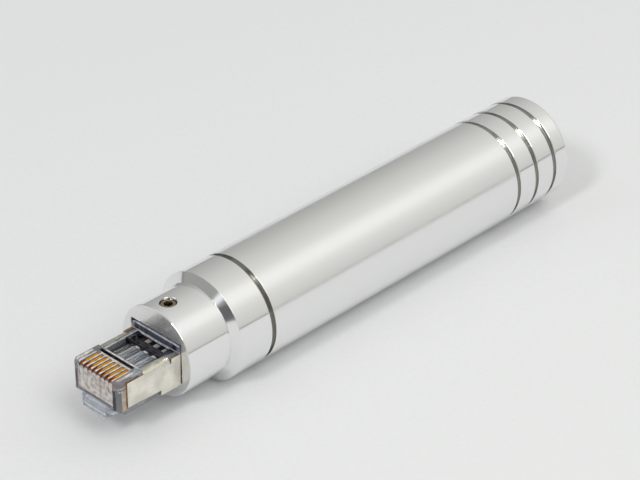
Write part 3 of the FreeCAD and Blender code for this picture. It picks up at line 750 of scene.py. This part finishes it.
def cut_across(mesh, *planes):
    """Cuts new edges into the faces where planes cross them. Each is a way (0 to 2) and a place."""
    work = bmesh.new()
    work.from_mesh(mesh)
    for way_across, place in planes:
        normal = np.eye(3)[way_across]
        bmesh.ops.bisect_plane(
            work, geom=[*work.verts, *work.edges, *work.faces], dist=MM / 10000,
            plane_co=normal * place, plane_no=normal)
    work.to_mesh(mesh)
    work.free()


def face_table(mesh):
    """The faces' centres and normals, each as three rows of numbers."""
    tables = []
    for name in ("center", "normal"):
        numbers = np.empty(len(mesh.polygons) * 3)
        mesh.polygons.foreach_get(name, numbers)
        tables.append(numbers.reshape(-1, 3).T)
    return tables


def paint(mesh, *coats):
    """Colours the faces. Each coat is a choice of faces and a colour, and covers those before it."""
    colours = np.ones((len(mesh.polygons), 4), np.float32)
    for chosen, colour in coats:
        colours[chosen, :3] = colour
    mesh.attributes.new("tint", "FLOAT_COLOR", "FACE").data.foreach_set("color", colours.ravel())


def painted(tree):
    """The colour that a face was given."""
    node = tree.nodes.new("ShaderNodeAttribute")
    node.attribute_name = "tint"
    return node.outputs["Color"]


def clear_moulding(name, share):
    """Clear, faintly blue plastic that lets a share of the light through.

    It is glossy outside, and textured where the mould's cores were.
    """
    material, tree, shader = new_material(name)
    set_sockets(shader, Metallic=0.0, Transmission_Weight=share, IOR=CLEAR_BEND)
    tree.links.new(painted(tree), shader.inputs["Base Color"])
    flow = noise(tree, 0.7 * MM)
    gloss = ranged(tree, flow, 0.01, 0.05, 0.35, 0.75)
    cored = ranged(tree, read(tree, "cored"), 0, 0.04)
    tree.links.new(math_node(tree, "ADD", gloss, cored), shader.inputs["Roughness"])
    bumped(tree, shader, flow, 0.03 * MM, 0.6)
    return material


def milky_moulding():
    """The same plastic where it was pressed, and where painted shade and painted highlights lie: milky, with
    a cloudy brown haze.
    """
    material, tree, shader = new_material("milky_moulding")
    set_sockets(shader, Metallic=0.0, Transmission_Weight=1 - MILKY_SHARE, IOR=CLEAR_BEND)
    clarity = ranged(tree, noise(tree, 0.9 * MM, detail=6), 0, 1, 0.36, 0.6)
    hazed = tree.nodes.new("ShaderNodeVectorMath")
    hazed.operation = "MULTIPLY"
    hazed.inputs[1].default_value = HAZE_TINT
    tree.links.new(painted(tree), hazed.inputs[0])
    tree.links.new(mixed(tree, clarity, hazed.outputs[0], painted(tree)), shader.inputs["Base Color"])
    tree.links.new(ranged(tree, clarity, 0.5, 0.3), shader.inputs["Roughness"])
    bumped(tree, shader, clarity, 0.02 * MM, 0.5)
    return material


CLEAR_MOULDING = clear_moulding("clear_moulding", CLEAR_SHARE)
CLEAR_WINDOW = clear_moulding("clear_window", WINDOW_SHARE)
MILKY_MOULDING = milky_moulding()


def highlighted_edges(x, y, z):
    """Where pale highlights are painted along edges: the rim's top and its foot, and beside the window."""
    rim = (x > RIM_FRONT - SURFACE) & (x < RIM_FRONT + EDGE_HIGHLIGHT_WIDTH) & (z > PLUG_TOP - EDGE_HIGHLIGHT_WIDTH)
    foot = (x > RIM_FRONT - EDGE_HIGHLIGHT_WIDTH) & (x < RIM_FRONT + SURFACE) & (np.abs(z - FLANGE_SEAT) < EDGE_HIGHLIGHT_WIDTH)
    window = (x < WINDOW_REAR) & (x > TRENCH_PLACES[1]) & (np.abs(np.abs(y) - WINDOW_SIDE) < EDGE_HIGHLIGHT_WIDTH)
    return rim | foot | (window & (z > FLANGE_SEAT - EDGE_HIGHLIGHT_WIDTH))


def blade_shades(x, y):
    """The strip beside each contact's near side, painted dark as painted shade for the contact's flank and
    gap seen through the comb.
    """
    beside = [(y < low.y) & (y > low.y - SHADE_WIDTH) for low, _ in BLADES]
    return np.any(beside, axis=0) & (x > PLUG_FACE + SHADE_WIDTH) & (x < BLADES[0][1].x)


def plug_housing():
    """Faces are told apart by place, after the mesh is cut along the limits of the finishes."""
    mesh = refined("plug_housing", HOUSING_EASE)
    cut_across(
        mesh, (0, RIM_FRONT + EDGE_HIGHLIGHT_WIDTH), (0, PLUG_FACE + SHADE_WIDTH), (0, BLADES[0][1].x),
        *((0, place) for place in AMBER_BAND), *((1, place) for place in (*NEAR_BAND, *FAR_LINE)),
        *((1, turn * place) for turn in (-1, 1) for place in (COMB_SIDE, WINDOW_SIDE + EDGE_HIGHLIGHT_WIDTH, *STREAK)),
        *((1, low.y - SHADE_WIDTH) for low, _ in BLADES),
        *((2, place) for place in (*AMBER_RISE, PRESSED_LOW, PLUG_TOP - EDGE_HIGHLIGHT_WIDTH)),
        *((2, FLANGE_SEAT + turn * EDGE_HIGHLIGHT_WIDTH) for turn in (-1, 1)))
    (x, y, z), (_, facing, _) = face_table(mesh)
    between, flank = np.abs(y) < COMB_SIDE, np.abs(facing) > FLANK
    front, ahead = x < PLUG_FACE + SURFACE, x < TRENCH_PLACES[0] - SURFACE
    pressed = between & front & (z > PRESSED_LOW)
    bar = between & (x > TRENCH_PLACES[1] + SURFACE) & (x < WINDOW_FRONT) & (z > FLANGE_SEAT - SURFACE)
    comb = between & ahead & ~flank & (z > BLOCK_TOP - 2 * HOUSING_EASE)
    # The slot walls are painted dark brown as painted shade, which shows through the comb between the
    # contacts.
    slots = between & (x < BLADES[0][1].x + HOUSING_EASE) & flank & (z > BLADES[0][0].z)
    shades = (comb & blade_shades(x, y)) | slots
    edge_highlights = highlighted_edges(x, y, z)
    low_down = (z > AMBER_RISE[0]) & (z < AMBER_RISE[1])
    amber = low_down & (x > AMBER_BAND[0]) & (x < AMBER_BAND[1]) & (np.abs(y) > SHIELD_HIGH.y - SIDE_DEPTH)
    streak = (np.abs(y) > STREAK[0]) & (np.abs(y) < STREAK[1]) & ahead & (z > BLOCK_TOP - SURFACE)
    trench = between & ~ahead & (x < TRENCH_PLACES[1] + SURFACE)
    trench &= (z < BLOCK_TOP - SKIN) & (z > TRENCH_FLOOR - SURFACE)
    post = ((y > NEAR_BAND[0]) & (y < NEAR_BAND[1])) | ((y > FAR_LINE[0]) & (y < FAR_LINE[1]))
    post &= front & low_down
    rim = between & (np.abs(x - RIM_FRONT) < SURFACE)
    rim &= (z > FLANGE_SEAT + EDGE_HIGHLIGHT_WIDTH) & (z < PLUG_TOP - EDGE_HIGHLIGHT_WIDTH)
    cavity = (x > WINDOW_REAR) & (x < RIM_FRONT + SURFACE) & (np.abs(y) < CAVITY_SIDE)
    window = between & (x > WINDOW_FRONT) & (x < WINDOW_REAR) & (z < FLANGE_SEAT - SURFACE) & (z > 0)
    outside = front | (np.abs(y) > OUTER_SIDE) | (z > FLANGE_SEAT - SKIN) | (z < UNDERSIDE)
    # The cavity, trench, posts and rim are painted dark as painted shade; the strips beside the blades and
    # the slot walls carry painted shade, and the edge strips painted highlights.
    paint(
        mesh, (slice(None), CLEAR_COLOUR), (cavity, CAVITY_SHADE_COLOUR), (trench, TRENCH_SHADE_COLOUR),
        (post, POST_SHADE_COLOUR), (comb | streak, COMB_COLOUR), (pressed | bar, PRESSED_COLOUR),
        (shades, BLADE_SHADE), (amber, AMBER_COLOUR), (edge_highlights, EDGE_HIGHLIGHT_COLOUR), (rim, RIM_SHADE_COLOUR))
    mark(mesh, "cored", ~outside, "FACE")
    smoothed(mesh)
    fit("plug_housing_clear", mesh, "filter", "clear_moulding", CLEAR_MOULDING, "plug_housing")
    mesh.materials.append(MILKY_MOULDING)
    mesh.materials.append(CLEAR_WINDOW)
    milky = comb | streak | pressed | bar | shades | amber | edge_highlights | rim
    mesh.polygons.foreach_set("material_index", np.where(milky, 1, np.where(window, 2, 0)).astype(np.int32))


def front_webs():
    """Thin walls that close the slots' front ends, up to where the contacts' noses curve over."""
    for place, (low, high) in enumerate(BLADES, 1):
        along = np.array([PLUG_FACE + SURFACE, PLUG_FACE + HOUSING_EASE, low.x - HOUSING_EASE])
        half = (high.y - low.y) / 2 + np.array([-SURFACE, SURFACE, SURFACE])
        top = np.array([WEB_TOP - HOUSING_EASE, WEB_TOP, WEB_TOP])
        across = (low.y + high.y) / 2 + half[:, None] * np.array([-1, 1, 1, -1])
        up = np.where([True, True, False, False], low.z, top[:, None])
        mesh = capped("web", np.stack([np.repeat(along[:, None], 4, 1), across, up], 2))
        paint(mesh, (slice(None), PRESSED_COLOUR))
        smoothed(mesh)
        fit(f"front_web_{place}", mesh, "filter", "clear_moulding", MILKY_MOULDING)


def plug_latch():
    """The tongue is glossy all over."""
    mesh = refined("plug_latch", HOUSING_EASE)
    paint(mesh, (slice(None), CLEAR_COLOUR))
    smoothed(mesh)
    fit("plug_latch_clear", mesh, "latch", "clear_moulding", CLEAR_MOULDING, "plug_latch")


plug_housing()
front_webs()
plug_latch()

# The shield: nickel-plated sheet brass, blanked and folded round the housing, with two flanges
# over the top that have tarnished. The cut edges of its sides show the brass.
NICKEL_COLOUR = (0.86, 0.83, 0.745)
CUT_COLOUR = (0.42, 0.24, 0.07)
TARNISH_COLOUR = (0.50, 0.48, 0.39)
SHEET = 0.3 * MM
SHEET_EASE = 0.04 * MM


def plug_shield():
    """A face on a side is a cut edge if it is flat, and no wider than the sheet is thick."""
    mesh = refined("plug_shield", SHEET_EASE)
    points = points_of(mesh)
    spans = np.array([np.sort(np.ptp(points[list(face.vertices)], axis=0)) for face in mesh.polygons])
    thin = (spans[:, 0] < MM / 1000) & (spans[:, 1] > SHEET / 2) & (spans[:, 1] <= SHEET)
    (_, y, z), _ = face_table(mesh)
    mark(mesh, "cut", thin & (np.abs(y) > SHIELD_HIGH.y - SIDE_DEPTH), "FACE")
    mark(mesh, "flange", z > FLANGE_SEAT, "FACE")
    smoothed(mesh)
    material, tree, shader = new_material("nickel_sheet")
    set_sockets(shader, Metallic=1.0)
    grain = noise(tree, 0.11 * MM, detail=4, stretch=(0.12, 1, 1))
    bright = ranged(tree, noise(tree, 2.5 * MM), 0, 1, 0.35, 0.65)
    plate = mixed(tree, bright, shaded(NICKEL_COLOUR, 0.8), NICKEL_COLOUR)
    patchy = ranged(tree, noise(tree, 1.2 * MM), 1, 0.35, 0.45, 0.7)
    tarnished = math_node(tree, "MULTIPLY", read(tree, "flange"), patchy)
    plate = mixed(tree, tarnished, plate, TARNISH_COLOUR)
    tree.links.new(mixed(tree, read(tree, "cut"), plate, CUT_COLOUR), shader.inputs["Base Color"])
    tree.links.new(ranged(tree, grain, 0.18, 0.3, 0.3, 0.7), shader.inputs["Roughness"])
    bumped(tree, shader, grain, 0.0008 * MM)
    fit("plug_shield_folded", mesh, "filter", "nickel_sheet", material, "plug_shield")


plug_shield()

# The contacts: eight blades stamped from phosphor bronze and pressed down through the wires.
# The top edge is gold plated, and the stamped sides show darker bronze.
GOLD_COLOUR = (1.0, 0.60, 0.04)
BRONZE_COLOUR = (0.5, 0.15, 0.02)
CONTACT_EASE = 0.19 * MM
CONTACT_CROWN = 1.0 * MM


def contacts():
    """The flanks and the curved nose, whose own normals point along Y or forwards, are bronze."""
    material, tree, shader = new_material("gold_plate")
    set_sockets(shader, Metallic=1.0)
    facing = parts_of(tree, "Normal")
    away = math_node(tree, "MAXIMUM", *(math_node(tree, "ABSOLUTE", facing[axis]) for axis in "XY"))
    side = ranged(tree, away, 0, 1, 0.6, 0.9)
    tree.links.new(mixed(tree, side, GOLD_COLOUR, BRONZE_COLOUR), shader.inputs["Base Color"])
    tree.links.new(ranged(tree, side, 0.45, 0.3), shader.inputs["Roughness"])
    for place in range(1, CONTACTS + 1):
        mesh = refined(f"contact_{place}", CONTACT_EASE, steps=4, lowest=CONTACT_CROWN)
        smoothed(mesh)
        fit(f"contact_{place}_plated", mesh, "filter", "gold_plate", material, f"contact_{place}")


contacts()

# The wires: eight insulated conductors, in pairs of a pale one and a darker one, from under the
# contacts back to the board. They keep their CAD shape.
WIRE_COLOURS = [
    (0.74, 0.72, 0.66), (0.03, 0.028, 0.025), (0.78, 0.78, 0.76), (0.02, 0.02, 0.022),
    (0.78, 0.78, 0.77), (0.02, 0.02, 0.02), (0.74, 0.70, 0.62), (0.08, 0.045, 0.03)]
CORE_COLOUR = (0.90, 0.42, 0.16)
CORE_RADIUS = 0.2 * MM
WIRE_END = 0.05 * MM
WIRE_END_COLOUR = (0.86, 0.82, 0.76)


def insulation(node, colour):
    """Extruded plastic with faint lengthwise streaks, paler where it is cut, round a copper core."""
    low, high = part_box(node)
    material, tree, shader = new_material(f"{node}_insulation")
    parts = parts_of(tree)
    streaks = noise(tree, 0.25 * MM, stretch=(0.05, 1, 1))
    skin = mixed(tree, streaks, shaded(colour, 0.8), colour)
    cut = math_node(tree, "LESS_THAN", parts["X"], low.x + WIRE_END)
    skin = mixed(tree, cut, skin, WIRE_END_COLOUR)
    across = math_node(tree, "SUBTRACT", parts["Y"], (low.y + high.y) / 2)
    up = math_node(tree, "SUBTRACT", parts["Z"], (low.z + high.z) / 2)
    core = math_node(tree, "LESS_THAN", hypotenuse(tree, across, up), CORE_RADIUS)
    tree.links.new(mixed(tree, core, skin, CORE_COLOUR), shader.inputs["Base Color"])
    tree.links.new(ranged(tree, streaks, 0.35, 0.5), shader.inputs["Roughness"])
    return material


def coat(node, material):
    """Gives a CAD node, shown as it is, its finished material."""
    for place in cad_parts[node].material_slots:
        place.material = material


for place, colour in enumerate(WIRE_COLOURS, 1):
    coat(f"wire_{place}", insulation(f"wire_{place}", colour))

# The board and its parts, inside the barrel: green-black glass laminate with four resistors and
# four capacitors, each with tinned ends.
BOARD_COLOUR = (0.02, 0.10, 0.05)
RESISTOR_COLOUR = (0.02, 0.02, 0.022)
CAPACITOR_COLOUR = (0.42, 0.30, 0.18)
TIN_COLOUR = (0.75, 0.75, 0.74)
CHIPS = 4
TERMINAL_LENGTH = 0.7 * MM
CLOTH_THREAD = 0.4 * MM


def laminate():
    """Glass cloth under a lacquer: a fine square weave in the height and the colour."""
    material, tree, shader = new_material("board_laminate")
    weave = tree.nodes.new("ShaderNodeTexChecker")
    weave.inputs["Scale"].default_value = 1 / CLOTH_THREAD
    tree.links.new(tree.nodes.new("ShaderNodeTexCoord").outputs["Object"], weave.inputs["Vector"])
    lacquer = mixed(tree, weave.outputs["Fac"], BOARD_COLOUR, shaded(BOARD_COLOUR, 1.4))
    tree.links.new(lacquer, shader.inputs["Base Color"])
    set_sockets(shader, Roughness=0.35)
    bumped(tree, shader, weave.outputs["Fac"], 0.01 * MM, 0.4)
    return material


def chip_finish(name, colour, node):
    """A ceramic body between tinned ends, told apart by the place along X."""
    low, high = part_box(node)
    material, tree, shader = new_material(name)
    along = math_node(tree, "SUBTRACT", parts_of(tree)["X"], (low.x + high.x) / 2)
    outward = math_node(tree, "ABSOLUTE", along)
    tinned = math_node(tree, "GREATER_THAN", outward, (high.x - low.x) / 2 - TERMINAL_LENGTH)
    tree.links.new(mixed(tree, tinned, colour, TIN_COLOUR), shader.inputs["Base Color"])
    tree.links.new(tinned, shader.inputs["Metallic"])
    tree.links.new(ranged(tree, noise(tree, 0.17 * MM), 0.3, 0.7), shader.inputs["Roughness"])
    return material


coat("circuit_board", laminate())
resistor_finish = chip_finish("resistor_body", RESISTOR_COLOUR, "resistor_1")
capacitor_finish = chip_finish("capacitor_body", CAPACITOR_COLOUR, "capacitor_1")
for place in range(1, CHIPS + 1):
    coat(f"resistor_{place}", resistor_finish)
    coat(f"capacitor_{place}", capacitor_finish)

# What fills the barrel: the insulating sleeve, the sintered ferrite core, and the sponge pad that
# presses both against the nose.
FILLINGS = {
    "insulating_sleeve": {"colour": (0.62, 0.60, 0.55), "roughness": 0.45, "grain": 2.0, "depth": 0.004},
    "absorber_core": {"colour": (0.045, 0.045, 0.05), "roughness": 0.6, "grain": 0.4, "depth": 0.01},
    "end_pad": {"colour": (0.06, 0.06, 0.065), "roughness": 0.9, "grain": 0.7, "depth": 0.15},
}


def grainy(name, colour, roughness, grain, depth):
    """A dull finish whose colour and height follow one grain, its width and depth in millimetres."""
    material, tree, shader = new_material(name)
    lumps = noise(tree, grain * MM, detail=4)
    tree.links.new(mixed(tree, lumps, shaded(colour, 0.7), colour), shader.inputs["Base Color"])
    set_sockets(shader, Roughness=roughness)
    bumped(tree, shader, lumps, depth * MM)
    return material


for node, finish in FILLINGS.items():
    coat(node, grainy(f"{node}_finish", **finish))
